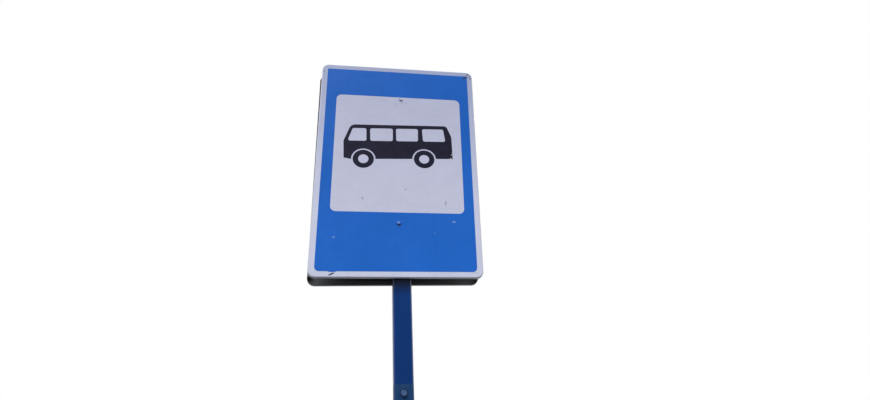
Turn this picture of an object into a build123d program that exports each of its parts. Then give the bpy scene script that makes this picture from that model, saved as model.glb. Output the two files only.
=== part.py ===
"""Double-sided bus stop sign: two pressed sheet-steel panels bolted back to back on a square tube post.

Millimetres, +Z up. The origin is the centre of the base plate's underside, on the post's axis.
The front panel faces -Y and the rear panel faces +Y. Each panel has its own frame: X to the right
as its reader sees it, Y up, Z out of its face, with Z = 0 on the post's face that carries it.
"""

import os
from math import sqrt

from build123d import *

os.makedirs("parts", exist_ok=True)

# Post, a rolled square tube
post_side = 75.0
post_wall = 3.0
post_corner_radius = 6.0
post_top_inset = 25.0

# Plug that closes the top of the post
cap_crown = 4.0
cap_skirt_depth = 20.0
cap_skirt_wall = 2.0
cap_clearance = 0.3

# Base plate and its four stiffening gussets
plate_side = 300.0
plate_thickness = 12.0
plate_corner_cut = 15.0
anchor_spacing = 220.0
anchor_hole_diameter = 18.0
gusset_reach = 75.0
gusset_height = 120.0
gusset_thickness = 8.0
gusset_nose = 12.0
gusset_weld_notch = 12.0

# Sign panels: shallow pans with a drawn edge and a lip rolled back in along each side
sign_centre_height = 3000.0
panel_width = 700.0
panel_height = 1050.0
panel_depth = 15.0
panel_corner_radius = 31.0
sheet_thickness = 1.2
face_bend_radius = 4.0
lip_width = 18.0
lip_bend_radius = 3.0
lip_end_relief = 8.0

# How each panel hangs, as its reader sees it: centre to the right of the post's axis, centre above
# the nominal height, and turn in degrees, positive against the clock
front_shift = -9.5
front_rise = 0.0
front_turn = -1.06
rear_shift = 21.0
rear_rise = 1.2
rear_turn = 0.65

# Hat-section rails welded inside each panel, with close folds
rail_length = 560.0
rail_thickness = 1.5
rail_crown_width = 40.0
rail_flange_width = 16.0
rail_fold_cut = 1.0

# Reflective films: white over the whole face, blue over it with a window left open
film_thickness = 0.3
border_width = 25.5
blue_top_corner_radius = 5.0
blue_bottom_corner_radius = 20.0
window_width = 560.0
window_height = 592.0
window_top_inset = 169.0
window_shift = 2.0
window_corner_radius = 24.0

# Bus symbol, in its own frame: origin midway between the wheel centres, facing left. It is placed
# from the middle of the window
symbol_shift = -20.0
symbol_drop = 36.0
symbol_turn = 1.8
wheel_base = 264.0
wheel_radius = 45.2
hub_radius = 22.2
arch_radius = 52.0
window_sill = 92.0
window_head = 158.5
window_pane_radius = 9.0

# Bus body outline: along, up, corner radius
symbol_outline = (
    (-215.5, 5.5, 0.0),
    (-217.0, 92.0, 30.0),
    (-185.0, 177.0, 28.0),
    (240.0, 176.0, 18.0),
    (260.0, 118.0, 36.0),
    (259.5, 3.0, 0.0),
    (-186.0, -1.0, 0.0),
)

# Window openings: front edge at the sill, front edge at the head, rear edge at the head and at the sill
symbol_windows = (
    (-200.0, -177.5, -118.0, -118.0),
    (-101.5, -102.0, -1.5, -3.0),
    (12.0, 12.0, 110.5, 108.5),
    (131.0, 128.5, 224.5, 231.5),
)

# Through bolts that clamp both panels to the post: across from the post's axis, and in from the
# panels' upper and lower edges
upper_bolt_across = 6.5
upper_bolt_inset = 180.0
lower_bolt_across = -12.0
lower_bolt_inset = 241.0
sign_bolt_diameter = 8.0
sign_bolt_hex = 13.0
sign_bolt_head_height = 5.5
sign_nut_height = 6.5

# Single bolt through the post below the sign
post_bolt_height = 2029.0
post_bolt_diameter = 12.0
post_bolt_hex = 19.0
post_bolt_head_height = 9.0
post_nut_height = 11.0

bolt_hole_clearance = 0.5
bolt_end_projection = 6.0
hex_chamfer = 0.9

# Places that follow from the sizes above
post_face = post_side / 2
post_top = sign_centre_height + panel_height / 2 - post_top_inset
panel_inside = panel_depth - sheet_thickness
face_bend_flat = (face_bend_radius - sheet_thickness) * (2 - sqrt(2))
white_film_top = panel_depth + film_thickness
sign_face = white_film_top + film_thickness
bolt_head_seat = post_face + sign_face
window_rise = panel_height / 2 - window_top_inset - window_height / 2
sign_bolts = {
    "upper": (upper_bolt_across, sign_centre_height + panel_height / 2 - upper_bolt_inset),
    "lower": (lower_bolt_across, sign_centre_height - panel_height / 2 + lower_bolt_inset),
}
reach = 2 * (post_side + panel_depth)


def rounded_slab(width, height, radius, bottom, top):
    """A flat block with rounded corners between two levels."""
    profile = Plane.XY.offset(bottom) * RectangleRounded(width, height, radius)
    return extrude(profile, top - bottom)


def panel_plane(facing, shift, rise, turn):
    """The frame of a panel on the post's face: facing is -1 for the front and 1 for the rear."""
    origin = (-facing * shift, facing * post_face, sign_centre_height + rise)
    upright = Plane(origin=origin, x_dir=(-facing, 0, 0), z_dir=(0, facing, 0))
    return Plane(upright.location * Rot(0, 0, turn))


def across_post(radius, start, end, x, z):
    """A round bar along Y through a point of the post's mid-plane."""
    return extrude(Plane(origin=(x, start, z), z_dir=(0, 1, 0)) * Circle(radius), end - start)


def bolt_places(plane):
    """The two through bolts in a panel's own frame."""
    return [plane.to_local_coords(Vector(x, 0, z)) for x, z in sign_bolts.values()]


def with_bolt_holes(shape, plane):
    """A panel piece with its clearance holes for the two through bolts."""
    hole = Cylinder(sign_bolt_diameter / 2 + bolt_hole_clearance, reach)
    for place in bolt_places(plane):
        shape -= Pos(place.X, place.Y) * hole
    return shape


def post():
    """Square tube with rounded corners, drilled for the sign bolts and the single bolt."""
    bore_side = post_side - 2 * post_wall
    bore_radius = post_corner_radius - post_wall
    outside = rounded_slab(post_side, post_side, post_corner_radius, plate_thickness, post_top)
    tube = outside - rounded_slab(bore_side, bore_side, bore_radius, plate_thickness, post_top)
    for x, z in sign_bolts.values():
        tube -= across_post(sign_bolt_diameter / 2 + bolt_hole_clearance, -post_side, post_side, x, z)
    return tube - across_post(
        post_bolt_diameter / 2 + bolt_hole_clearance, -post_side, post_side, 0, post_bolt_height
    )


def post_cap():
    """Plug with a flat crown on the tube's end and a hollow skirt inside it."""
    crown = rounded_slab(post_side, post_side, post_corner_radius, post_top, post_top + cap_crown)
    skirt_side = post_side - 2 * (post_wall + cap_clearance)
    hollow_side = skirt_side - 2 * cap_skirt_wall
    skirt_corner = post_corner_radius - post_wall
    skirt_outline = chamfer(Rectangle(skirt_side, skirt_side).vertices(), skirt_corner)
    skirt_outline -= Rectangle(hollow_side, hollow_side)
    return crown + extrude(Plane.XY.offset(post_top) * skirt_outline, -cap_skirt_depth)


def base_plate():
    """Square foot with cut corners and four anchor holes."""
    outline = chamfer(Rectangle(plate_side, plate_side).vertices(), plate_corner_cut)
    plate = extrude(outline, plate_thickness)
    hole = Cylinder(anchor_hole_diameter / 2, 4 * plate_thickness)
    return plate - [spot * hole for spot in GridLocations(anchor_spacing, anchor_spacing, 2, 2)]


def gusset(turn):
    """Upright web from one face of the post down to the plate, with its inner corner cut for the weld."""
    outline = Polyline(
        (gusset_weld_notch, 0),
        (gusset_reach, 0),
        (gusset_reach, gusset_nose),
        (gusset_nose, gusset_height),
        (0, gusset_height),
        (0, gusset_weld_notch),
        close=True,
    )
    upright = Plane(origin=(post_face, 0, plate_thickness), x_dir=(1, 0, 0), z_dir=(0, -1, 0))
    web = extrude(upright * make_face(outline), gusset_thickness / 2, both=True)
    return Rot(0, 0, turn) * web


def panel(plane):
    """Pressed pan: flat face, drawn flange round all four corners, lips on the straight sides.

    The face's edge is round outside. Inside it is one flat that keeps the sheet's thickness there.
    """
    outside = rounded_slab(panel_width, panel_height, panel_corner_radius, 0, panel_depth)
    outside = fillet(outside.faces().sort_by(Axis.Z)[-1].edges(), face_bend_radius)
    inside = rounded_slab(
        panel_width - 2 * sheet_thickness,
        panel_height - 2 * sheet_thickness,
        panel_corner_radius - sheet_thickness,
        0,
        panel_inside,
    )
    inside = chamfer(inside.faces().sort_by(Axis.Z)[-1].edges(), face_bend_flat)
    pan = outside - inside
    corner_run = 2 * (panel_corner_radius + lip_end_relief)
    for turn, span, side in (
        (0, panel_width, panel_height),
        (90, panel_height, panel_width),
        (180, panel_width, panel_height),
        (270, panel_height, panel_width),
    ):
        pan = edge_with_lip(pan, turn, span / 2, side - corner_run)
    return with_bolt_holes(pan, plane)


def edge_with_lip(pan, turn, half_span, length):
    """The pan with one straight stretch of its flange rolled in as a lip."""
    middle = sheet_thickness / 2
    bend_centre = half_span - lip_bend_radius
    path = CenterArc((bend_centre, lip_bend_radius), lip_bend_radius - middle, 0, -90)
    path += Line((bend_centre, middle), (half_span - lip_width, middle))
    lip = extrude(Plane.XZ * trace(path, sheet_thickness), length / 2, both=True)
    cut_back = Pos(half_span, 0, lip_bend_radius / 2) * Box(2 * sheet_thickness, length, lip_bend_radius)
    return pan - Rot(0, 0, turn) * cut_back + Rot(0, 0, turn) * lip


def rail(plane, place):
    """Hat-section rail: crown on the post, flanges on the panel's inside face."""
    foot_width = rail_crown_width + 2 * rail_flange_width
    hollow_width = rail_crown_width - 2 * rail_thickness
    hat = Pos(0, panel_inside / 2) * Rectangle(rail_crown_width, panel_inside)
    hat = chamfer(hat.vertices().group_by(Axis.Y)[0], rail_fold_cut)
    hat += Pos(0, panel_inside - rail_thickness / 2) * Rectangle(foot_width, rail_thickness)
    hat -= Pos(0, panel_inside / 2 + rail_thickness) * Rectangle(hollow_width, panel_inside)
    across = Plane(origin=(0, place.Y, 0), x_dir=(0, 1, 0), z_dir=(1, 0, 0))
    return with_bolt_holes(extrude(across * hat, rail_length / 2, both=True), plane)


def white_film(plane):
    """White film over the flat of the face."""
    trim = 2 * face_bend_radius
    film = rounded_slab(
        panel_width - trim,
        panel_height - trim,
        panel_corner_radius - face_bend_radius,
        panel_depth,
        white_film_top,
    )
    return with_bolt_holes(film, plane)


def blue_film(plane):
    """Blue film inside the white border, cut open round the symbol's white field."""
    width = panel_width - 2 * border_width
    height = panel_height - 2 * border_width
    sheet = Rectangle(width, height)
    corners = sheet.vertices().group_by(Axis.Y)
    sheet = fillet(corners[0], blue_bottom_corner_radius)
    corners = sheet.vertices().group_by(Axis.Y)
    sheet = fillet(corners[-1], blue_top_corner_radius)
    sheet -= Pos(window_shift, window_rise) * RectangleRounded(
        window_width, window_height, window_corner_radius
    )
    return with_bolt_holes(extrude(Plane.XY.offset(white_film_top) * sheet, film_thickness), plane)


def symbol():
    """Black film cut as a bus: body with four windows and two arches, and two wheels."""
    points = [(along, up) for along, up, _ in symbol_outline]
    radii = [radius for _, _, radius in symbol_outline]
    body = make_face(FilletPolyline(points, radius=radii, close=True))
    for front_sill, front_head, rear_head, rear_sill in symbol_windows:
        pane = Polyline(
            (front_sill, window_sill),
            (front_head, window_head),
            (rear_head, window_head),
            (rear_sill, window_sill),
            close=True,
        )
        body -= fillet(make_face(pane).vertices(), window_pane_radius)
    wheels = Sketch()
    for centre in (-wheel_base / 2, wheel_base / 2):
        body -= Pos(centre, 0) * Circle(arch_radius)
        wheels += Pos(centre, 0) * (Circle(wheel_radius) - Circle(hub_radius))
    middle = Pos(window_shift + symbol_shift, window_rise - symbol_drop, white_film_top)
    return extrude(middle * Rot(0, 0, symbol_turn) * (body + wheels), film_thickness)


def hexagon(flats, height):
    """Hexagon that starts at Z = 0, with its outer rim chamfered."""
    prism = extrude(RegularPolygon(flats / 2, 6, major_radius=False), height)
    return chamfer(prism.faces().sort_by(Axis.Z)[-1].edges(), hex_chamfer)


def fastening(x, z, seat, sizes):
    """Bolt and nut along Y through the post, each seat away from the post's axis."""
    diameter, flats, head_height, nut_height = sizes
    front = Plane(origin=(x, -seat, z), x_dir=(1, 0, 0), z_dir=(0, -1, 0))
    rear = Plane(origin=(x, seat, z), x_dir=(1, 0, 0), z_dir=(0, 1, 0))
    head = front * hexagon(flats, head_height)
    shank_end = seat + nut_height + bolt_end_projection
    shank = across_post(diameter / 2, -seat, shank_end, x, z)
    nut = hexagon(flats, nut_height) - Cylinder(diameter / 2, 2 * nut_height)
    return {"bolt": head + shank, "nut": rear * nut}


sign_fastener = (sign_bolt_diameter, sign_bolt_hex, sign_bolt_head_height, sign_nut_height)
post_fastener = (post_bolt_diameter, post_bolt_hex, post_bolt_head_height, post_nut_height)

nodes = {"base_plate": base_plate(), "post": post(), "post_cap": post_cap()}

for name, turn in (("right", 0), ("rear", 90), ("left", 180), ("front", 270)):
    nodes[f"gusset_{name}"] = gusset(turn)

for side, plane in (
    ("front", panel_plane(-1, front_shift, front_rise, front_turn)),
    ("rear", panel_plane(1, rear_shift, rear_rise, rear_turn)),
):
    nodes[f"{side}_panel"] = plane * panel(plane)
    for level, place in zip(sign_bolts, bolt_places(plane)):
        nodes[f"{side}_rail_{level}"] = plane * rail(plane, place)
    nodes[f"{side}_white_film"] = plane * white_film(plane)
    nodes[f"{side}_blue_film"] = plane * blue_film(plane)
    nodes[f"{side}_symbol"] = plane * symbol()

for level, (x, z) in sign_bolts.items():
    for piece, shape in fastening(x, z, bolt_head_seat, sign_fastener).items():
        nodes[f"sign_{level}_{piece}"] = shape

for piece, shape in fastening(0, post_bolt_height, post_face, post_fastener).items():
    nodes[f"post_{piece}"] = shape

for name, shape in nodes.items():
    export_step(shape, f"parts/{name}.step")
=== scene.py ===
"""Looks of a double-sided bus stop sign: two pressed panels with film, bolted to a painted square post.

Metres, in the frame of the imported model: +Z up the post, -Y out of the front panel. Places on a panel
are in millimetres from its centre, as its reader sees it.
"""

import logging
import math
import random
from dataclasses import dataclass, field
from enum import Enum
from typing import Iterable, Mapping, Optional, Sequence, Union

import bmesh
import bpy
from mathutils import Matrix, Vector


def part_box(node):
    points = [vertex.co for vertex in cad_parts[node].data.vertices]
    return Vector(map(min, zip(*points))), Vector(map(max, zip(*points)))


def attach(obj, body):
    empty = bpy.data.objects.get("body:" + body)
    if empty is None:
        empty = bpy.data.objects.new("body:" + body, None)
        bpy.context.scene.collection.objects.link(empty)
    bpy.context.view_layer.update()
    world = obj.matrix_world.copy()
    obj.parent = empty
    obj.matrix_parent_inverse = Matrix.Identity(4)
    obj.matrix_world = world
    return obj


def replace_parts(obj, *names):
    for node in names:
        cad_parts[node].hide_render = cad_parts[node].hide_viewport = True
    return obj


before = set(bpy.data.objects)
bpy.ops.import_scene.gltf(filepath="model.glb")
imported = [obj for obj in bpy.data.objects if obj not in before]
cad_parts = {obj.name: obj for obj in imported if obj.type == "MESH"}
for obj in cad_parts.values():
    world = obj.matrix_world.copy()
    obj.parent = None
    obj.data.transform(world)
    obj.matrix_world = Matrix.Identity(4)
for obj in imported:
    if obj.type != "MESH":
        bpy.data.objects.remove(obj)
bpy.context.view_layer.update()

log = logging.getLogger("bus_stop_sign")

Colour = tuple[float, float, float]
Operand = Union["Wire", float, Colour]
Key = Union[int, str]
Span = tuple[float, float]  # where a smooth step is 0, and where it is 1

MM = 0.001
WELD_SEED = 7
SHARP_ANGLE = math.radians(32)
FILM_GRAIN = (2.2, 2.0)  # the noise's scale and detail
FILM_GRAIN_DEPTH = 0.00003


class Wire:
    """One socket on its way through a shader, which Python's operators take further."""

    def __init__(self, recipe: "Recipe", socket: bpy.types.NodeSocket) -> None:
        """Wrap a socket.

        Args:
            recipe: The node tree that holds the socket.
            socket: The output to carry on from.
        """
        self.recipe = recipe
        self.socket = socket

    def __add__(self, other: Operand) -> "Wire":
        """Add a number, colour or vector."""
        return self.recipe.combine("ADD", self, other)

    def __radd__(self, other: Operand) -> "Wire":
        """Add to a number, colour or vector."""
        return self.recipe.combine("ADD", other, self)

    def __sub__(self, other: Operand) -> "Wire":
        """Take away a number, colour or vector."""
        return self.recipe.combine("SUBTRACT", self, other)

    def __rsub__(self, other: Operand) -> "Wire":
        """Take away from a number, colour or vector."""
        return self.recipe.combine("SUBTRACT", other, self)

    def __mul__(self, other: Operand) -> "Wire":
        """Multiply by a number, colour or vector."""
        return self.recipe.combine("MULTIPLY", self, other)

    def __rmul__(self, other: Operand) -> "Wire":
        """Multiply a number, colour or vector."""
        return self.recipe.combine("MULTIPLY", other, self)

    def at_least(self, other: Operand) -> "Wire":
        """The larger of two values."""
        return self.recipe.combine("MAXIMUM", self, other)

    def at_most(self, other: Operand) -> "Wire":
        """The smaller of two values."""
        return self.recipe.combine("MINIMUM", self, other)

    def magnitude(self) -> "Wire":
        """The value without its sign."""
        return self.recipe.combine("ABSOLUTE", self, 0.0)

    def dot(self, axis: Sequence[float]) -> "Wire":
        """How far a vector reaches along an axis."""
        return self.recipe.node(
            "ShaderNodeVectorMath", {"operation": "DOT_PRODUCT"}, {0: self, 1: tuple(axis)}, "Value"
        )

    def length(self) -> "Wire":
        """The length of a vector."""
        return self.recipe.node("ShaderNodeVectorMath", {"operation": "LENGTH"}, {0: self}, "Value")

    def rise(self, low: float, high: float) -> "Wire":
        """A smooth step.

        Args:
            low: Where the result is still 0.
            high: Where the result has reached 1. Below low, the step goes down instead.

        Returns:
            A value from 0 to 1.
        """
        return self.recipe.node(
            "ShaderNodeMapRange",
            {"interpolation_type": "SMOOTHSTEP"},
            {"Value": self, "From Min": low, "From Max": high},
        )


class Recipe:
    """A node tree, and the one way in which its nodes are made."""

    def __init__(self, tree: bpy.types.NodeTree) -> None:
        """Start on a tree.

        Args:
            tree: The node tree of a material or of the world.
        """
        self.tree = tree

    @staticmethod
    def find(sockets: Sequence[bpy.types.NodeSocket], key: Key) -> bpy.types.NodeSocket:
        """Find a socket by its number, identifier or name.

        Args:
            sockets: The inputs or outputs of a node.
            key: The number, identifier or name.

        Returns:
            The socket.
        """
        if isinstance(key, int):
            return sockets[key]
        return next(item for item in sockets if key in (item.identifier, item.name))

    def feed(self, socket: bpy.types.NodeSocket, value: Operand) -> None:
        """Link a wire to a socket, or set a plain value on it.

        Args:
            socket: The input to fill.
            value: A wire, number, colour or vector.
        """
        if isinstance(value, Wire):
            self.tree.links.new(value.socket, socket)
        elif socket.type == "RGBA":
            socket.default_value = (*value, 1.0)
        elif socket.type == "VECTOR" and isinstance(value, (int, float)):
            socket.default_value = (value, value, value)
        else:
            socket.default_value = value

    def node(
        self,
        kind: str,
        settings: Optional[Mapping[str, object]] = None,
        inputs: Optional[Mapping[Key, Operand]] = None,
        output: Key = 0,
    ) -> Wire:
        """Make a node.

        Args:
            kind: The node's type.
            settings: Its own settings, which are made first.
            inputs: Values or wires for its sockets.
            output: The socket to carry on from.

        Returns:
            That output.
        """
        made = self.tree.nodes.new(kind)
        for setting, value in (settings or {}).items():
            setattr(made, setting, value)
        for key, value in (inputs or {}).items():
            self.feed(self.find(made.inputs, key), value)
        return Wire(self, self.find(made.outputs, output))

    def combine(self, operation: str, first: Operand, second: Operand) -> Wire:
        """Work two operands into one: as numbers, or as vectors where a colour or vector takes part.

        Args:
            operation: The name of the operation, which both kinds of node share.
            first: The first operand.
            second: The second operand.

        Returns:
            The result.
        """
        wires = [item for item in (first, second) if isinstance(item, Wire)]
        numbers = [item for item in (first, second) if isinstance(item, (int, float))]
        plain = len(numbers) + sum(wire.socket.type == "VALUE" for wire in wires) == 2
        kind = "ShaderNodeMath" if plain else "ShaderNodeVectorMath"
        return self.node(kind, {"operation": operation}, {0: first, 1: second})

    def mix(self, share: Operand, first: Operand, second: Operand) -> Wire:
        """Blend two colours.

        Args:
            share: How much of the second colour shows, from 0 to 1.
            first: The colour at 0.
            second: The colour at 1.

        Returns:
            The blended colour.
        """
        return self.node(
            "ShaderNodeMix",
            {"data_type": "RGBA"},
            {"Factor_Float": share, "A_Color": first, "B_Color": second},
            "Result_Color",
        )


class Coat(Recipe):
    """One material: what varies over its surface is built from wires, and the rest is set once."""

    dot_wobble: float = 0.6  # how far a dot strays from round, in cells
    dot_core: float = 0.6  # the share of its radius that is full
    choice_blur: float = 0.01  # how softly cells go from empty to chosen
    mark_edge: Span = (1.15, 0.6)  # where a mark starts and is full, in its half sizes

    def __init__(self, name: str, constants: Mapping[str, Operand]) -> None:
        """Make the material.

        Args:
            name: Its name.
            constants: Shader values that are the same all over.
        """
        self.material = bpy.data.materials.new(name)
        self.material.use_nodes = True
        super().__init__(self.material.node_tree)
        self.shader = self.tree.nodes["Principled BSDF"]
        for key, value in constants.items():
            self.feed(self.find(self.shader.inputs, key), value)
        self.place = self.node("ShaderNodeTexCoord", output="Object")
        self.normal = self.node("ShaderNodeNewGeometry", output="Normal")

    def part(self, vector: Wire, axis: str) -> Wire:
        """One of a vector's three numbers."""
        return self.node("ShaderNodeSeparateXYZ", {}, {0: vector}, axis)

    def noise(self, vector: Operand, scale: float, detail: float = 3.0, roughness: float = 0.55) -> Wire:
        """Soft irregular variation.

        Args:
            vector: Where to sample it.
            scale: Blotches for each unit of the vector.
            detail: How many finer layers are added.
            roughness: How strong the finer layers are.

        Returns:
            A value around 0.5.
        """
        inputs = {"Vector": vector, "Scale": scale, "Detail": detail, "Roughness": roughness}
        return self.node("ShaderNodeTexNoise", {}, inputs)

    def specks(self, vector: Wire, scale: float, size: float, share: float) -> Wire:
        """Small separate dots.

        Args:
            vector: Where to sample them.
            scale: Cells for each unit of the vector.
            size: A dot's radius as a share of a cell.
            share: How many of the cells hold a dot, from 0 to 1.

        Returns:
            1 in a dot and 0 outside.
        """
        wobble = self.noise(vector, 3.0 * scale) * (self.dot_wobble / scale)
        cell = self.node("ShaderNodeTexVoronoi", {}, {"Vector": vector + wobble, "Scale": scale})
        chance = self.part(Wire(self, self.find(cell.socket.node.outputs, "Color")), "X")
        chosen = chance.rise(1.0 - share, 1.0 - share + self.choice_blur)
        return cell.rise(size, self.dot_core * size) * chosen

    def on_panel(self, face: "PanelFrame") -> Wire:
        """Places on a panel, in millimetres, as its reader sees them.

        Args:
            face: The panel's frame.

        Returns:
            A vector: right, up, and out of the face.
        """
        offset = self.place - tuple(face.centre)
        parts = [offset.dot(axis / MM) for axis in (face.right, face.up, face.out)]
        return self.node("ShaderNodeCombineXYZ", {}, dict(enumerate(parts)))

    def marked(self, colour: Wire, where: Wire, marks: Iterable["Mark"]) -> Wire:
        """Put marks on a colour.

        Args:
            colour: The colour before them.
            where: Places on the panel, from on_panel.
            marks: The marks.

        Returns:
            The marked colour.
        """
        ragged = self.noise(where, 0.3, 4.0, 0.7) - 0.5
        for mark in marks:
            inputs = {
                "Vector": where * (1.0, 1.0, 0.0),
                "Location": (mark.x, mark.y, 0.0),
                "Rotation": (0.0, 0.0, math.radians(mark.turn)),
                "Scale": (mark.width / 2, mark.height / 2, 1.0),
            }
            inside = self.node("ShaderNodeMapping", {"vector_type": "TEXTURE"}, inputs).length()
            shape = (inside + ragged * mark.ragged).rise(*self.mark_edge)
            colour = self.mix(shape * mark.strength, colour, mark.tone.value)
        return colour

    def bump(self, height: Wire, depth: float, under: Optional[Wire] = None) -> Wire:
        """Turn a height into a change of the surface's direction.

        Args:
            height: The height, from 0 to 1.
            depth: What a height of 1 stands for, in metres.
            under: A bump that this one lies on.

        Returns:
            The changed direction.
        """
        inputs: dict[Key, Operand] = {"Height": height, "Distance": depth, "Strength": 1.0}
        if under is not None:
            inputs["Normal"] = under
        return self.node("ShaderNodeBump", {}, inputs)

    def finish(self, **wires: Wire) -> bpy.types.Material:
        """Lead the wires into the shader.

        Args:
            wires: A wire for each socket, whose name has an underscore for a space.

        Returns:
            The finished material.
        """
        for name, wire in wires.items():
            self.feed(self.find(self.shader.inputs, name.replace("_", " ")), wire)
        return self.material


@dataclass(frozen=True)
class PanelFrame:
    """Where a panel's face is, as its reader sees it."""

    centre: Vector
    right: Vector
    up: Vector
    out: Vector


class Tone(Enum):
    """Colours that marks on the films take."""

    DIRT = (0.03, 0.03, 0.035)
    GREY = (0.24, 0.25, 0.27)
    PALE = (0.36, 0.45, 0.58)
    WHITE = (0.60, 0.62, 0.66)
    BLUE = (0.007, 0.118, 0.50)


@dataclass(frozen=True)
class Mark:
    """A stain, chip or scratch on a panel's face, in millimetres as its reader sees it."""

    tone: Tone
    x: float
    y: float
    width: float
    height: float
    turn: float = 0.0
    ragged: float = 1.2
    strength: float = 1.0


@dataclass(frozen=True)
class StreetPaint:
    """Brushed gloss paint on steel, renewed on its upper part and chipped to primer and rust, with painted
    shade just below the sign and round the post bolt.
    """

    fresh: Colour = (0.0008, 0.030, 0.151)
    faded: Colour = (0.006, 0.041, 0.130)
    chalk: Colour = (0.060, 0.095, 0.16)
    primer: Colour = (0.20, 0.19, 0.18)
    rust: Colour = (0.105, 0.033, 0.012)
    light_rust: Colour = (0.20, 0.075, 0.025)
    rust_stain: Colour = (0.075, 0.045, 0.03)
    dust: Colour = (0.16, 0.14, 0.115)
    # a dark blue used as painted shade
    painted_shade: Colour = (0.003, 0.010, 0.030)
    repaint_height: float = 2.062
    repaint_wobble: float = 0.016
    repaint_blur: float = 0.0012
    splash_height: float = 0.30
    # painted shade round the post bolt, standing in for its washer's shadow
    bolt_shade_ring: Span = (0.0215, 0.013)
    bolt_shade_strength: float = 0.60
    # painted shade on the post just below the front panel, standing in for the panel's shadow
    panel_shade_depth: float = 0.075
    panel_shade_top: Span = (0.06, 0.02)
    panel_shade_strength: float = 0.95
    corner_edge: Span = (0.0312, 0.0338)

    def material(self, name: str, chips: float) -> bpy.types.Material:
        """Make the paint.

        Args:
            name: The material's name.
            chips: How much of it has chipped, from 0 to 1.

        Returns:
            The material.
        """
        coat = Coat(name, {"Specular IOR Level": 0.10, "Coat Roughness": 0.28})
        height = coat.part(coat.place, "Z")
        side = [coat.part(coat.place, axis).magnitude() for axis in ("X", "Y")]
        corner = side[0].at_most(side[1]).rise(*self.corner_edge)
        splash = height.rise(self.splash_height, 0.0)

        brushed = coat.noise(coat.place * (1.0, 1.0, 0.035), 330.0, 2.0)
        clouds = coat.noise(coat.place * (1.0, 1.0, 0.4), 9.0)
        wobble = (coat.noise(coat.place * (1.0, 1.0, 0.2), 70.0) - 0.5) * self.repaint_wobble
        old = (self.repaint_height + wobble - height).rise(-self.repaint_blur, self.repaint_blur)
        chalk = coat.noise(coat.place * (1.0, 1.0, 0.25), 42.0, 5.0, 0.7).rise(0.40, 0.75) * old
        colour = coat.mix(old, self.fresh, self.faded) * (0.72 + clouds * 0.38 + brushed * 0.18)
        colour = coat.mix(chalk * 0.22, colour, self.chalk)

        # Painted shade: a dark ring round the post bolt stands in for its washer's shadow.
        low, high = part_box("post_bolt")
        from_bolt = ((coat.place - tuple((low + high) / 2)) * (1.0, 0.0, 1.0)).length()
        ring = from_bolt.rise(*self.bolt_shade_ring) * coat.noise(coat.place, 90.0, 4.0).rise(0.34, 0.56)
        colour = coat.mix(ring * self.bolt_shade_strength, colour, self.painted_shade)
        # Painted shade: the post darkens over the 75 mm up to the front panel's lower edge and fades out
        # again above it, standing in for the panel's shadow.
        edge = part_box("front_panel")[0].z
        above = height.rise(*(edge + gap for gap in self.panel_shade_top))
        shade_below_panel = height.rise(edge - self.panel_shade_depth, edge) * above
        colour = coat.mix(shade_below_panel * self.panel_shade_strength, colour, self.painted_shade)

        worn = coat.noise(coat.place, 65.0, 7.0, 0.66)
        worn = worn + (corner * 0.075 + splash * 0.06 + old * 0.02) * (0.4 + chips)
        bare = worn.rise(0.735, 0.75)
        rusty = (worn + splash * 0.03).rise(0.75, 0.78)
        grain = coat.noise(coat.place, 900.0, 3.0)
        rust = coat.mix(grain, self.rust, self.light_rust)
        colour = coat.mix(bare, colour, self.primer)
        colour = coat.mix(rusty, colour, rust)
        stain = coat.noise(coat.place * (1.0, 1.0, 0.12), 60.0).rise(0.50, 0.72) * splash
        colour = coat.mix(stain * 0.45, colour, self.rust_stain)
        upward = coat.part(coat.normal, "Z").rise(0.3, 0.9)
        dusty = coat.noise(coat.place, 24.0, 6.0, 0.7).rise(0.30, 0.70) * 0.55 + grain * 0.5
        dusty = (upward * 0.85 + splash * 0.18) * dusty.at_most(1.0)
        colour = coat.mix(dusty, colour, self.dust)

        roughness = 0.24 + old * 0.16 + clouds * 0.10 + (bare + dusty).at_most(1.0) * 0.45
        relief = coat.bump(brushed, 0.00009)
        relief = coat.bump(clouds, 0.0012, relief)
        relief = coat.bump(1.0 - bare, 0.00016, relief)
        relief = coat.bump(grain * rusty, 0.0005, relief)
        relief = coat.bump(old, 0.00012, relief)
        gloss = corner * (1.0 - (bare + dusty + old * 0.6).at_most(1.0))
        return coat.finish(Base_Color=colour, Roughness=roughness, Normal=relief, Coat_Weight=gloss)


class Backing(Enum):
    """What a panel's sheet wears on its flange: light coat, or dark primer darkened along one side edge.

    Each has its main colour, the colour of its patches, and 1 where the rim is darkened.
    """

    COATED = ((0.500, 0.515, 0.545), (0.440, 0.450, 0.470), 0.0)
    PRIMED = ((0.260, 0.265, 0.275), (0.420, 0.425, 0.420), 1.0)


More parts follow.
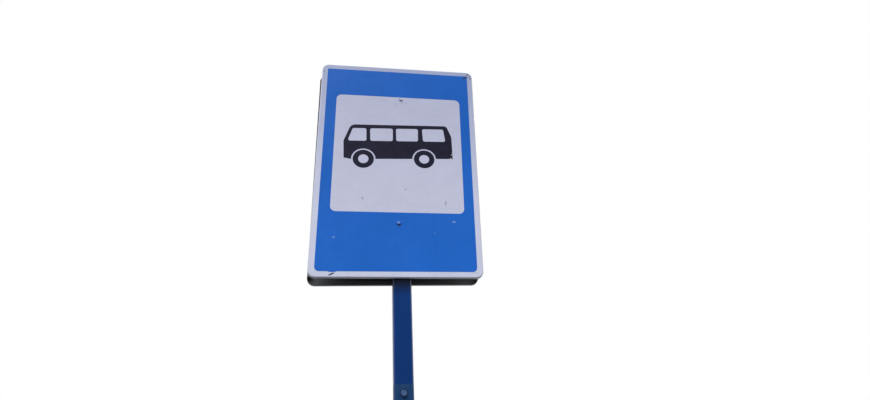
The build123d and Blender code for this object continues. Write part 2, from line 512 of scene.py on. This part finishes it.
@dataclass(frozen=True)
class CoatedSheet:
    """Pressed steel sheet: coated or primed outside, grey primer inside, perhaps with a dark rim."""

    backing: Backing
    inside: Colour = (0.085, 0.088, 0.095)
    streak: Colour = (0.16, 0.145, 0.115)
    chip: Colour = (0.11, 0.055, 0.03)
    edge_film: Colour = (0.580, 0.610, 0.730)
    edge_dirt: Colour = (0.16, 0.155, 0.15)
    edge_depth: Span = (4.5, 2.5)
    rim: Colour = (0.006, 0.011, 0.032)
    rim_across: Span = (12.0, 4.0)
    rim_up: Span = (-430.0, -300.0)
    rim_depth: float = 10.0
    flange_depth: float = 15.0
    lip_level: float = 2.5
    blur: float = 0.5
    facing_back: Span = (-0.5, -0.8)
    facing_in: Span = (-20.0, -60.0)
    half_width: float = 350.0

    def material(self, name: str, face: PanelFrame) -> bpy.types.Material:
        """Make the coated sheet.

        Args:
            name: The material's name.
            face: The panel's frame.

        Returns:
            The material.
        """
        coat = Coat(name, {"Specular IOR Level": 0.3})
        first, second, rimmed = self.backing.value
        where = coat.on_panel(face)
        across, up = coat.part(where, "X"), coat.part(where, "Y")
        depth = coat.part(where, "Z") * -1.0
        facing = coat.normal.dot(face.out)
        outward = coat.normal.dot(face.right) * across + coat.normal.dot(face.up) * up
        lip_start = self.flange_depth - self.lip_level
        lip = depth.rise(lip_start - self.blur, lip_start + self.blur)
        hidden = facing.rise(*self.facing_back).at_least(outward.rise(*self.facing_in) * (1.0 - lip))

        clouds = coat.noise(where, 0.011, 4.0)
        grain = coat.noise(where, 1.4, 3.0)
        patches = clouds.rise(0.42, 0.66)
        streaks = coat.noise(where * (1.0, 0.06, 1.0), 0.12, 4.0, 0.65).rise(0.50, 0.80)
        colour = coat.mix(patches, first, second)
        colour = coat.mix(hidden, colour, self.inside) * (0.86 + clouds * 0.28)
        colour = coat.mix(streaks * 0.30, colour, self.streak)
        bend = depth.rise(*self.edge_depth) * (1.0 - hidden)
        colour = coat.mix(bend * 0.8, colour, self.edge_film)
        colour = coat.mix(bend * grain.rise(0.45, 0.7) * 0.22, colour, self.edge_dirt)
        chips = coat.specks(where, 0.035, 0.055, 0.10) * depth.rise(0.5, 3.0)
        colour = coat.mix(chips, colour, self.chip)
        # The rim: darker along one side edge, from 10 mm behind the face, on the primed panel only.
        ragged = (coat.noise(where, 0.06, 4.0) - 0.5) * 3.0
        painted = (self.half_width - across + ragged).rise(*self.rim_across)
        inner = depth.rise(self.rim_depth - self.blur, self.rim_depth + self.blur)
        painted = painted * inner * up.rise(*self.rim_up)
        colour = coat.mix(painted * rimmed, colour, self.rim)
        roughness = 0.42 + clouds * 0.2 + hidden * 0.15
        relief = coat.bump(grain, 0.00006, coat.bump(clouds, 0.0016))
        return coat.finish(Base_Color=colour, Roughness=roughness, Normal=relief)


@dataclass(frozen=True)
class GalvanisedSteel:
    """Folded galvanised sheet: dull zinc with spangle and white rust, and a row of spot welds."""

    zinc: Colour = (0.36, 0.37, 0.385)
    dark: Colour = (0.20, 0.21, 0.225)
    bloom: Colour = (0.47, 0.475, 0.47)
    scorched: Colour = (0.10, 0.085, 0.075)
    weld_spacing: float = 70.0
    weld_offset: float = 28.0
    weld_radius: float = 3.2
    weld_rim: Span = (1.3, 0.2)
    weld_dent: Span = (3.4, 2.6)
    weld_heat: Span = (6.0, 2.5)

    def material(self, name: str, face: PanelFrame, level: float) -> bpy.types.Material:
        """Make the rail's zinc.

        Args:
            name: The material's name.
            face: The panel's frame.
            level: How high the rail's middle line is on the panel, in millimetres.

        Returns:
            The material.
        """
        coat = Coat(name, {"Specular IOR Level": 0.5})
        where = coat.on_panel(face)
        spangle = coat.node("ShaderNodeTexVoronoi", {}, {"Vector": where, "Scale": 0.11}, "Color")
        flake = coat.part(spangle, "X")
        bloom = coat.noise(where, 0.05, 5.0, 0.7).rise(0.52, 0.70)
        colour = coat.mix(flake * 0.55, self.zinc, self.dark)
        colour = coat.mix(bloom * 0.6, colour, self.bloom)
        along = coat.part(where, "X") * (1.0 / self.weld_spacing)
        along = (coat.node("ShaderNodeMath", {"operation": "FRACT"}, {0: along}) - 0.5) * self.weld_spacing
        across = (coat.part(where, "Y") - level).magnitude() - self.weld_offset
        spot = coat.node("ShaderNodeCombineXYZ", {}, {0: along, 1: across}).length()
        ring = (spot - self.weld_radius).magnitude().rise(*self.weld_rim)
        colour = coat.mix(spot.rise(*self.weld_heat) * 0.6, colour, self.scorched)
        roughness = 0.36 + flake * 0.14 + bloom * 0.30
        relief = coat.bump(1.0 - spot.rise(*self.weld_dent), 0.0004, coat.bump(flake, 0.00003))
        return coat.finish(
            Base_Color=coat.mix(ring * 0.5, colour, self.bloom),
            Metallic=0.85 - bloom * 0.7,
            Roughness=roughness,
            Normal=relief,
        )


@dataclass(frozen=True)
class WhiteFilm:
    """White reflective film: bluish border, greyer field, faint rain streaks, and painted shade that darkens
    it towards its top.
    """

    field_colour: Colour = (0.485, 0.505, 0.645)
    border_colour: Colour = (0.520, 0.550, 0.700)
    field_top_shade: Colour = (0.80, 0.81, 0.86)
    border_top_shade: Colour = (0.58, 0.62, 0.72)
    rain: Colour = (0.30, 0.29, 0.26)
    border_across: float = 324.5
    border_up: float = 499.5
    border_blur: Span = (-3.0, -1.0)
    shaded_up: Span = (520.0, -300.0)

    def material(self, name: str, face: PanelFrame, marks: Iterable[Mark]) -> bpy.types.Material:
        """Make the white film.

        Args:
            name: The material's name.
            face: The panel's frame.
            marks: What has happened to it.

        Returns:
            The material.
        """
        coat = Coat(name, {"Specular IOR Level": 0.28})
        where = coat.on_panel(face)
        across = coat.part(where, "X").magnitude() - self.border_across
        up = coat.part(where, "Y").magnitude() - self.border_up
        border = across.at_least(up).rise(*self.border_blur)
        clouds = coat.noise(where, 0.007, 3.0)
        streaks = coat.noise(where * (1.0, 0.09, 1.0), 0.06, 4.0, 0.6)
        colour = coat.mix(border, self.field_colour, self.border_colour)
        # Painted shade: the film darkens towards its top, the border more than the field.
        lower = coat.part(where, "Y").rise(*self.shaded_up)
        shade = coat.mix(lower, coat.mix(border, self.field_top_shade, self.border_top_shade), (1.0, 1.0, 1.0))
        colour = colour * shade * (0.97 + clouds * 0.10 + streaks * 0.05)
        rain = streaks.rise(0.58, 0.80) * (0.10 + border * 0.16)
        colour = coat.mix(rain, colour, self.rain)
        colour = coat.mix(coat.specks(where, 0.014, 0.035, 0.16) * 0.75, colour, Tone.DIRT.value)
        colour = coat.mix(coat.specks(where, 0.045, 0.05, 0.10) * 0.35, colour, Tone.GREY.value)
        colour = coat.marked(colour, where, marks)
        grain = coat.noise(where, *FILM_GRAIN)
        relief = coat.bump(grain, FILM_GRAIN_DEPTH, coat.bump(clouds, 0.0025))
        return coat.finish(Base_Color=colour, Roughness=0.36 + clouds * 0.12, Normal=relief)


@dataclass(frozen=True)
class BlueFilm:
    """Blue reflective film, slightly faded in clouds, chipped here and there, and with painted shade that
    darkens it towards its top.
    """

    deep: Colour = (0.005, 0.102, 0.455)
    faded: Colour = (0.012, 0.130, 0.562)
    blue_shade_up: Span = (250.0, -450.0)

    def material(self, name: str, face: PanelFrame, marks: Iterable[Mark]) -> bpy.types.Material:
        """Make the blue film.

        Args:
            name: The material's name.
            face: The panel's frame.
            marks: What has happened to it.

        Returns:
            The material.
        """
        coat = Coat(name, {"Specular IOR Level": 0.10})
        where = coat.on_panel(face)
        clouds = coat.noise(where, 0.0045, 3.0)
        streaks = coat.noise(where * (1.0, 0.08, 1.0), 0.05, 4.0, 0.6)
        # Painted shade: the blue is deep at its top and goes to the lighter colour towards its bottom; the
        # clouds are real fading.
        lower = coat.part(where, "Y").rise(*self.blue_shade_up)
        faded = (clouds.rise(0.30, 0.75) * 0.4 + lower * 0.6).at_most(1.0)
        colour = coat.mix(faded, self.deep, self.faded) * (0.94 + streaks * 0.12)
        scuffed = coat.noise(where * (0.25, 1.0, 1.0), 0.5, 5.0, 0.75).rise(0.66, 0.82)
        colour = coat.mix(scuffed * 0.14, colour, Tone.PALE.value)
        colour = coat.mix(coat.specks(where, 0.02, 0.04, 0.12) * 0.55, colour, Tone.PALE.value)
        colour = coat.marked(colour, where, marks)
        grain = coat.noise(where, *FILM_GRAIN)
        relief = coat.bump(grain, FILM_GRAIN_DEPTH, coat.bump(clouds, 0.0035))
        return coat.finish(Base_Color=colour, Roughness=0.38 + clouds * 0.12, Normal=relief)


@dataclass(frozen=True)
class BlackFilm:
    """Black film, greyed a little."""

    black: Colour = (0.0045, 0.0045, 0.018)
    greyed: Colour = (0.009, 0.009, 0.026)

    def material(self, name: str, face: PanelFrame, marks: Iterable[Mark]) -> bpy.types.Material:
        """Make the black film.

        Args:
            name: The material's name.
            face: The panel's frame.
            marks: What has happened to it.

        Returns:
            The material.
        """
        coat = Coat(name, {"Specular IOR Level": 0.08})
        where = coat.on_panel(face)
        clouds = coat.noise(where, 0.02, 4.0)
        scuffed = coat.noise(where * (0.2, 1.0, 1.0), 0.6, 5.0, 0.75).rise(0.66, 0.80)
        colour = coat.mix(clouds.rise(0.35, 0.70), self.black, self.greyed)
        colour = coat.mix(scuffed * 0.03, colour, Tone.GREY.value)
        colour = coat.marked(colour, where, marks)
        relief = coat.bump(coat.noise(where, *FILM_GRAIN), FILM_GRAIN_DEPTH)
        return coat.finish(Base_Color=colour, Roughness=0.42 + clouds * 0.14, Normal=relief)


class WornPaint(Enum):
    """Paint on a fastener: its colour, and the level of noise that it reaches up to."""

    WHITENED = ((0.37, 0.39, 0.52), 0.74)
    BLUED = ((0.06, 0.18, 0.56), 0.66)
    PAINTED = ((0.020, 0.062, 0.165), 0.74)


@dataclass(frozen=True)
class PlatedSteel:
    """Zinc plate, dulled and rusty in patches, under a worn coat of paint."""

    zinc: Colour = (0.17, 0.21, 0.31)
    rust: Colour = (0.11, 0.06, 0.04)
    blur: float = 0.04

    def material(self, name: str, worn: WornPaint) -> bpy.types.Material:
        """Make the plated steel.

        Args:
            name: The material's name.
            worn: The paint on it.

        Returns:
            The material.
        """
        paint, level = worn.value
        coat = Coat(name, {"Specular IOR Level": 0.5})
        clouds = coat.noise(coat.place, 160.0, 5.0, 0.65)
        grain = coat.noise(coat.place, 900.0, 3.0)
        rusty = clouds.rise(0.58, 0.70)
        colour = coat.mix(rusty, self.zinc, self.rust) * (0.75 + grain * 0.5)
        covered = coat.noise(coat.place, 210.0, 4.0).rise(level + self.blur, level - self.blur)
        colour = coat.mix(covered, colour, paint)
        return coat.finish(
            Base_Color=colour,
            Metallic=(0.9 - rusty * 0.85) * (1.0 - covered),
            Roughness=0.46 + rusty * 0.30 + covered * 0.04,
            Normal=coat.bump(grain, 0.00008, coat.bump(clouds, 0.0002)),
        )


@dataclass(frozen=True)
class MouldedPlastic:
    """Black moulded plastic, bleached on top."""

    black: Colour = (0.014, 0.014, 0.015)
    bleached: Colour = (0.060, 0.060, 0.058)

    def material(self, name: str) -> bpy.types.Material:
        """Make the plastic.

        Args:
            name: The material's name.

        Returns:
            The material.
        """
        coat = Coat(name, {"Specular IOR Level": 0.4})
        clouds = coat.noise(coat.place, 55.0, 4.0)
        upward = coat.part(coat.normal, "Z").rise(0.2, 0.9)
        colour = coat.mix(clouds.rise(0.3, 0.7) * upward, self.black, self.bleached)
        grain = coat.noise(coat.place, 1500.0, 2.0)
        return coat.finish(
            Base_Color=colour, Roughness=0.50 + clouds * 0.2, Normal=coat.bump(grain, 0.00010)
        )


class Shape:
    """Points and faces gathered for one piece."""

    def __init__(self) -> None:
        """Start with nothing."""
        self.points: list[Vector] = []
        self.faces: list[tuple[int, ...]] = []

    def loft(self, rings: Sequence[Sequence[Vector]]) -> None:
        """Join rings of equal length into a closed skin.

        Args:
            rings: The rings in order. The first and the last are capped.
        """
        start, count = len(self.points), len(rings[0])
        for ring in rings:
            self.points.extend(ring)
        for row in range(len(rings) - 1):
            near = start + row * count
            for column in range(count):
                after = (column + 1) % count
                self.faces.append((near + column, near + after, near + count + after, near + count + column))
        last = start + (len(rings) - 1) * count
        self.faces.append(tuple(range(start + count - 1, start - 1, -1)))
        self.faces.append(tuple(range(last, last + count)))

    def piece(self, name: str, slot: str, material: bpy.types.Material) -> bpy.types.Object:
        """Turn the shape into a piece that rides on the part.

        Args:
            name: The piece's name.
            slot: The record's material slot; not used.
            material: Its material.

        Returns:
            The piece.
        """
        mesh = bpy.data.meshes.new(name)
        mesh.from_pydata([tuple(point) for point in self.points], [], self.faces)
        work = bmesh.new()
        work.from_mesh(mesh)
        bmesh.ops.recalc_face_normals(work, faces=work.faces)
        work.to_mesh(mesh)
        work.free()
        mesh.shade_smooth()
        mesh.set_sharp_from_angle(angle=SHARP_ANGLE)
        mesh.materials.append(material)
        made = bpy.data.objects.new(name, mesh)
        bpy.context.scene.collection.objects.link(made)
        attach(made, "root")
        log.info("%s: %d faces", name, len(mesh.polygons))
        return made


def dress(node: str, material: bpy.types.Material) -> None:
    """Give a CAD node its finish.

    Args:
        node: The node's name.
        material: The finish.
    """
    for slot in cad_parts[node].material_slots:
        slot.material = material
    log.info("%s: %s", node, material.name)


@dataclass
class Foot:
    """Post, cap, base plate and gussets, and the weld beads between them."""

    weld_radius: float = 3.6 * MM
    weld_step: float = 1.3 * MM
    ripple_length: float = 4.2 * MM
    ripple_height: float = 0.16
    unevenness: float = 0.04
    gusset_notch: float = 12.0 * MM
    post_corner: float = 6.0 * MM
    corner_steps: int = 5
    sides: int = 8
    rng: random.Random = field(default_factory=lambda: random.Random(WELD_SEED))

    def bead(self, shape: Shape, path: Sequence[Vector]) -> None:
        """Lay a rippled bead along a path.

        Args:
            shape: The shape to add it to.
            path: The corner line that it fills.
        """
        rings = []
        travelled = 0.0
        for start, end in zip(path, path[1:]):
            run = end - start
            along = run.normalized()
            across = along.orthogonal().normalized()
            level = along.cross(across)
            steps = max(2, round(run.length / self.weld_step))
            for step in range(steps):
                travelled += run.length / steps
                ripple = (travelled / self.ripple_length) % 1.0
                uneven = self.rng.uniform(1 - self.unevenness, 1 + self.unevenness)
                radius = self.weld_radius * (1 - self.ripple_height * ripple) * uneven
                centre = start + run * (step / (steps - 1))
                rings.append([
                    centre + radius * (across * math.cos(turn) + level * math.sin(turn))
                    for turn in (2 * math.pi * side / self.sides for side in range(self.sides))
                ])
        shape.loft(rings)

    def beads(self) -> Shape:
        """All the beads at the foot: round the post, and along both sides of each gusset.

        Returns:
            The shape that holds them.
        """
        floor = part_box("base_plate")[1].z
        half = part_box("post")[1].x
        low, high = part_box("gusset_right")
        shape = Shape()
        for quarter in range(4):
            turned = Matrix.Rotation(quarter * math.pi / 2, 4, "Z")
            inner = half - self.post_corner
            lines = [[(half, -inner, floor), (half, inner, floor)]]
            for side in (low.y, high.y):
                lines.append([(half + self.gusset_notch, side, floor), (high.x, side, floor)])
                lines.append([(half, side, floor + self.gusset_notch), (half, side, high.z)])
            arc = [
                (inner + self.post_corner * math.cos(turn), inner + self.post_corner * math.sin(turn), floor)
                for turn in (math.pi / 2 * step / self.corner_steps for step in range(self.corner_steps + 1))
            ]
            for line in (*lines, arc):
                self.bead(shape, [turned @ Vector(point) for point in line])
        return shape

    def build(self) -> None:
        """Weld and paint the foot and the post."""
        paint = StreetPaint()
        post_paint = paint.material("post_paint", chips=0.25)
        foot_paint = paint.material("foot_paint", chips=1.0)
        dress("post", post_paint)
        dress("post_cap", MouldedPlastic().material("cap_plastic"))
        for node in ("base_plate", "gusset_right", "gusset_rear", "gusset_left", "gusset_front"):
            dress(node, foot_paint)
        self.beads().piece("weld_beads", "post_paint", foot_paint)


@dataclass
class SignSide:
    """One panel with its rails and films."""

    name: str
    facing: int
    turn: float
    backing: Backing
    white_marks: tuple[Mark, ...] = ()
    blue_marks: tuple[Mark, ...] = ()
    black_marks: tuple[Mark, ...] = ()

    def face(self) -> PanelFrame:
        """The panel's frame, worked out from its film and its turn.

        Returns:
            The frame, with its centre on the face of the sheet.
        """
        low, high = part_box(f"{self.name}_white_film")
        sheet_low, sheet_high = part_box(f"{self.name}_panel")
        centre = (low + high) / 2
        centre.y = sheet_high.y if self.facing > 0 else sheet_low.y
        turned = Matrix.Rotation(math.radians(self.facing * self.turn), 3, "Y")
        right = turned @ Vector((-self.facing, 0, 0))
        return PanelFrame(centre, right, turned @ Vector((0, 0, 1)), Vector((0, self.facing, 0)))

    def build(self) -> None:
        """Dress the panel, its rails and its films."""
        face = self.face()
        dress(f"{self.name}_panel", CoatedSheet(self.backing).material(f"{self.name}_sheet", face))
        for level in ("upper", "lower"):
            node = f"{self.name}_rail_{level}"
            low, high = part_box(node)
            middle = ((low + high) / 2 - face.centre).dot(face.up) / MM
            dress(node, GalvanisedSteel().material(f"{self.name}_{level}_zinc", face, middle))
        white = WhiteFilm().material(f"{self.name}_white", face, self.white_marks)
        blue = BlueFilm().material(f"{self.name}_blue", face, self.blue_marks)
        black = BlackFilm().material(f"{self.name}_black", face, self.black_marks)
        dress(f"{self.name}_white_film", white)
        dress(f"{self.name}_blue_film", blue)
        dress(f"{self.name}_symbol", black)


@dataclass
class Fastener:
    """A bolt with washers and its nut, in the space that the plain solids hold."""

    name: str
    diameter: float
    pitch: float
    washer_radius: float
    washer_thickness: float
    slot: str
    worn: WornPaint
    segments: int = 48
    crown_share: float = 0.95
    cone_angle: float = 30.0
    dish_share: float = 0.8
    dish_depth: float = 0.4 * MM
    shank_inset: float = 1.0 * MM
    thread_inset: float = 1.5 * MM
    thread_steps: int = 6
    thread_share: float = 0.6

    def ring(self, out: int, level: float, radius: float, hexagonal: bool = False) -> list[Vector]:
        """A ring of points round the bolt's axis.

        Args:
            out: -1 for the front and 1 for the rear.
            level: Distance from the post's axis.
            radius: The ring's radius, or half of a hexagon's flats.
            hexagonal: Whether it follows a hexagon.

        Returns:
            The points.
        """
        low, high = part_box(f"{self.name}_nut")
        axis = (low + high) / 2
        sector = math.pi / 3
        points = []
        for step in range(self.segments):
            turn = 2 * math.pi * step / self.segments
            reach = radius / math.cos(turn % sector - sector / 2) if hexagonal else radius
            across, up = reach * math.cos(turn), reach * math.sin(turn)
            points.append(Vector((axis.x + across, out * level, axis.z + up)))
        return points

    def washer(self, shape: Shape, out: int, seat: float) -> None:
        """A washer with its rim rounded.

        Args:
            shape: The shape to add it to.
            out: -1 for the front and 1 for the rear.
            seat: Where it lies, as a distance from the post's axis.
        """
        rim = self.washer_thickness / 4
        top = seat + self.washer_thickness
        shape.loft([
            self.ring(out, seat, self.washer_radius - rim),
            self.ring(out, seat + rim, self.washer_radius),
            self.ring(out, top - rim, self.washer_radius),
            self.ring(out, top, self.washer_radius - rim),
        ])

    def hexagon(self, shape: Shape, out: int, seat: float, top: float) -> None:
        """A bolt's head or a nut, whose corners a cone has rounded off.

        Args:
            shape: The shape to add it to.
            out: -1 for the front and 1 for the rear.
            seat: Where it sits on its washer.
            top: Its outer end.
        """
        low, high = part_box(f"{self.name}_nut")
        half = (high.z - low.z) / 2
        crown = half * self.crown_share
        corners = self.ring(out, top, half, hexagonal=True)
        centre = sum(corners, Vector()) / len(corners)
        for corner in corners:
            corner.y -= out * ((corner - centre).length - crown) * math.tan(math.radians(self.cone_angle))
        shape.loft([
            self.ring(out, seat, half, hexagonal=True),
            corners,
            self.ring(out, top, crown),
            self.ring(out, top - self.dish_depth, crown * self.dish_share),
        ])

    def thread(self, shape: Shape, start: float, tip: float) -> None:
        """The bolt's threaded end.

        Args:
            shape: The shape to add it to.
            start: Where the thread starts.
            tip: The bolt's end.
        """
        rings = []
        steps = round((tip - start) / self.pitch * self.thread_steps)
        for step in range(steps + 1):
            level = start + (tip - start) * step / steps
            ring = self.ring(1, level, 1.0)
            centre = sum(ring, Vector()) / len(ring)
            for number, point in enumerate(ring):
                phase = (level / self.pitch - number / self.segments) % 1.0
                depth = self.thread_share * self.pitch * abs(2 * phase - 1)
                blunt = max(0.0, level - tip + self.pitch)
                radius = min(self.diameter / 2 - depth, self.diameter / 2 - blunt)
                ring[number] = centre + (point - centre) * radius
            rings.append(ring)
        shape.loft(rings)

    def build(self) -> None:
        """Make the bolt and the nut, each in place of its plain solid."""
        material = PlatedSteel().material(f"fastener_{self.worn.name.lower()}", self.worn)
        bolt_low, bolt_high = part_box(f"{self.name}_bolt")
        nut_low, nut_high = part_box(f"{self.name}_nut")
        seat = nut_low.y
        bolt, nut = Shape(), Shape()
        self.washer(bolt, -1, seat)
        self.hexagon(bolt, -1, seat + self.washer_thickness, -bolt_low.y)
        shank_ends = (-seat, nut_high.y - self.shank_inset)
        bolt.loft([self.ring(1, end, self.diameter / 2) for end in shank_ends])
        self.thread(bolt, nut_high.y - self.thread_inset, bolt_high.y)
        self.washer(nut, 1, seat)
        self.hexagon(nut, 1, seat + self.washer_thickness, nut_high.y)
        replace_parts(bolt.piece(f"{self.name}_bolt_piece", self.slot, material), f"{self.name}_bolt")
        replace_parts(nut.piece(f"{self.name}_nut_piece", self.slot, material), f"{self.name}_nut")


@dataclass(frozen=True)
class Lamp:
    """A broad, soft and distant lamp."""

    name: str
    azimuth: float
    height: float
    strength: float


@dataclass
class Studio:
    """Pale floor, white surroundings, soft lamps and the camera at the photograph's view."""

    floor_size: float = 80.0
    floor_shown: Colour = (0.49, 0.49, 0.49)
    floor_bounce: Colour = (0.08, 0.08, 0.085)
    sky_light: float = 0.52
    softness: float = 34.0
    lens: float = 26.0
    sensor: float = 36.0
    shift: float = -0.0559
    eye: tuple[float, float, float] = (-0.1365, -2.4368, 1.5951)
    azimuth: float = 11.685
    pitch: float = 26.834
    roll: float = -4.793
    lamps: tuple[Lamp, ...] = (
        Lamp("key_lamp", azimuth=-32.0, height=57.0, strength=3.45),
        Lamp("side_lamp", azimuth=62.0, height=22.0, strength=0.7),
        Lamp("rear_lamp", azimuth=152.0, height=36.0, strength=2.1),
    )

    def floor(self) -> None:
        """The floor: pale where the camera sees it, and darker in what it throws back."""
        half = self.floor_size / 2
        mesh = bpy.data.meshes.new("floor")
        corners = [(-half, -half, 0.0), (half, -half, 0.0), (half, half, 0.0), (-half, half, 0.0)]
        mesh.from_pydata(corners, [], [(0, 1, 2, 3)])
        coat = Coat("floor", {"Roughness": 0.9, "Specular IOR Level": 0.0})
        seen = self.seen(coat)
        mesh.materials.append(coat.finish(Base_Color=coat.mix(seen, self.floor_bounce, self.floor_shown)))
        made = bpy.data.objects.new("floor", mesh)
        bpy.context.scene.collection.objects.link(made)

    @staticmethod
    def seen(recipe: Recipe) -> Wire:
        """Tell the rays that show the surroundings from those that only light.

        Args:
            recipe: The node tree to work in.

        Returns:
            1 on the rays that show them, straight or in gloss, and 0 on the rest.
        """
        outputs = recipe.node("ShaderNodeLightPath").socket.node.outputs
        kinds = ("Is Camera Ray", "Is Glossy Ray", "Is Transmission Ray")
        rays = [Wire(recipe, outputs[kind]) for kind in kinds]
        return rays[0].at_least(rays[1]).at_least(rays[2])

    def sky(self) -> None:
        """The world: white to look at, and a plain soft light."""
        world = bpy.data.worlds.new("studio")
        bpy.context.scene.world = world
        world.use_nodes = True
        recipe = Recipe(world.node_tree)
        seen = self.seen(recipe)
        strength = self.sky_light + seen * (1.0 - self.sky_light)
        background = world.node_tree.nodes["Background"]
        recipe.feed(background.inputs["Color"], (1.0, 1.0, 1.0))
        recipe.feed(background.inputs["Strength"], strength)

    def light(self) -> None:
        """The lamps."""
        for lamp in self.lamps:
            data = bpy.data.lights.new(lamp.name, "SUN")
            data.angle = math.radians(self.softness)
            data.energy = lamp.strength
            made = bpy.data.objects.new(lamp.name, data)
            made.rotation_euler = (math.radians(90.0 - lamp.height), 0.0, math.radians(lamp.azimuth))
            bpy.context.scene.collection.objects.link(made)

    def camera(self) -> None:
        """The camera, held below the sign and looking up at it."""
        data = bpy.data.cameras.new("camera")
        data.lens = self.lens
        data.sensor_width = self.sensor
        data.shift_x = self.shift
        made = bpy.data.objects.new("camera", data)
        made.matrix_world = (
            Matrix.Translation(self.eye)
            @ Matrix.Rotation(math.radians(-self.azimuth), 4, "Z")
            @ Matrix.Rotation(math.radians(90 + self.pitch), 4, "X")
            @ Matrix.Rotation(math.radians(self.roll), 4, "Z")
        )
        bpy.context.scene.collection.objects.link(made)
        bpy.context.scene.camera = made

    def build(self) -> None:
        """Set up the whole studio."""
        self.floor()
        self.sky()
        self.light()
        self.camera()
        bpy.context.scene.view_settings.view_transform = "Standard"


# Each mark: tone, place to the right, place up, width, height, turn, raggedness, strength
FRONT = SignSide(
    name="front",
    facing=-1,
    turn=-1.06,
    backing=Backing.COATED,
    white_marks=(
        Mark(Tone.DIRT, 35.0, 325.0, 9.0, 6.0, 20.0, 1.2, 0.35),
        Mark(Tone.GREY, -6.9, 303.5, 9.0, 6.0, 0.0, 1.2, 0.5),
        Mark(Tone.GREY, 9.0, 288.0, 16.0, 9.0, 0.0, 1.6, 0.2),
        Mark(Tone.GREY, 38.0, 358.0, 34.0, 3.5, 0.0, 1.6, 0.5),
        Mark(Tone.GREY, -147.0, -173.0, 10.0, 13.0, 25.0, 2.4, 0.8),
        Mark(Tone.GREY, 31.0, -125.3, 12.0, 9.0, 0.0, 2.6, 0.55),
        Mark(Tone.GREY, 203.0, -187.0, 9.0, 26.0, -8.0, 2.4, 0.65),
        Mark(Tone.DIRT, -257.2, -511.0, 28.0, 8.0, 24.0, 0.9),
        Mark(Tone.BLUE, -256.0, -500.5, 38.0, 6.0, 0.0, 0.8),
        Mark(Tone.GREY, 318.0, -503.5, 38.0, 2.0, 1.0, 1.2, 0.8),
        Mark(Tone.DIRT, 330.5, 512.5, 13.0, 6.5, 20.0, 1.4),
        Mark(Tone.DIRT, 322.5, 506.0, 6.0, 9.0, -20.0, 1.4, 0.8),
        Mark(Tone.DIRT, 338.5, 503.0, 6.5, 9.0, 30.0, 1.4),
        Mark(Tone.DIRT, 328.6, 495.5, 10.0, 6.0, 0.0, 1.4, 0.9),
        Mark(Tone.DIRT, 341.0, 488.0, 7.0, 10.0, 0.0, 1.4, 0.9),
        Mark(Tone.DIRT, -341.0, 482.0, 5.0, 8.0),
    ),
    blue_marks=(
        Mark(Tone.PALE, -257.0, -353.5, 12.0, 8.0, 10.0, 2.2, 0.4),
        Mark(Tone.PALE, 235.0, -275.0, 20.0, 6.0, -4.0, 2.2, 0.6),
        Mark(Tone.PALE, 154.0, -328.0, 9.0, 6.0, 0.0, 1.2, 0.2),
        # a dark patch right under the lower bolt's head
        Mark(Tone.DIRT, 6.0, -291.0, 20.0, 14.0, 0.0, 1.2, 0.75),
        Mark(Tone.DIRT, 313.0, 491.0, 21.0, 10.0, 35.0),
    ),
    black_marks=(
        Mark(Tone.WHITE, 243.0, 44.0, 9.0, 6.0, 10.0, 2.0),
        Mark(Tone.WHITE, 238.0, 56.0, 12.0, 4.0, 20.0, 2.0),
        Mark(Tone.WHITE, 241.0, 67.0, 7.0, 4.0, 0.0, 2.0),
        Mark(Tone.WHITE, 232.0, 36.0, 8.0, 4.0, -20.0, 2.0),
    ),
)

REAR = SignSide(
    name="rear",
    facing=1,
    turn=0.65,
    backing=Backing.PRIMED,
    white_marks=(
        Mark(Tone.GREY, -96.0, -142.0, 16.0, 7.0, 30.0, 1.6, 0.6),
        Mark(Tone.DIRT, 188.0, 260.0, 7.0, 5.0),
        Mark(Tone.GREY, 120.0, -512.0, 60.0, 5.0, -2.0, 1.6, 0.6),
    ),
    blue_marks=(
        Mark(Tone.PALE, 140.0, -402.0, 15.0, 5.0, 12.0),
        Mark(Tone.PALE, -210.0, -330.0, 8.0, 6.0),
    ),
)

# Each fastener: name, diameter, pitch, washer's radius, washer's thickness, slot, paint
FASTENERS = (
    Fastener("sign_upper", 8.0 * MM, 1.25 * MM, 7.0 * MM, 0.8 * MM, "fastener_zinc", WornPaint.WHITENED),
    Fastener("sign_lower", 8.0 * MM, 1.25 * MM, 7.0 * MM, 0.8 * MM, "fastener_zinc", WornPaint.BLUED),
    Fastener("post", 12.0 * MM, 1.75 * MM, 12.0 * MM, 2.0 * MM, "fastener_painted", WornPaint.PAINTED),
)


def main() -> None:
    """Build the sign from the ground up, then the studio round it."""
    logging.basicConfig(level=logging.INFO, format="%(message)s")
    Foot().build()
    for side in (FRONT, REAR):
        side.build()
    for fastener in FASTENERS:
        fastener.build()
    Studio().build()


if __name__ == "__main__":
    main()
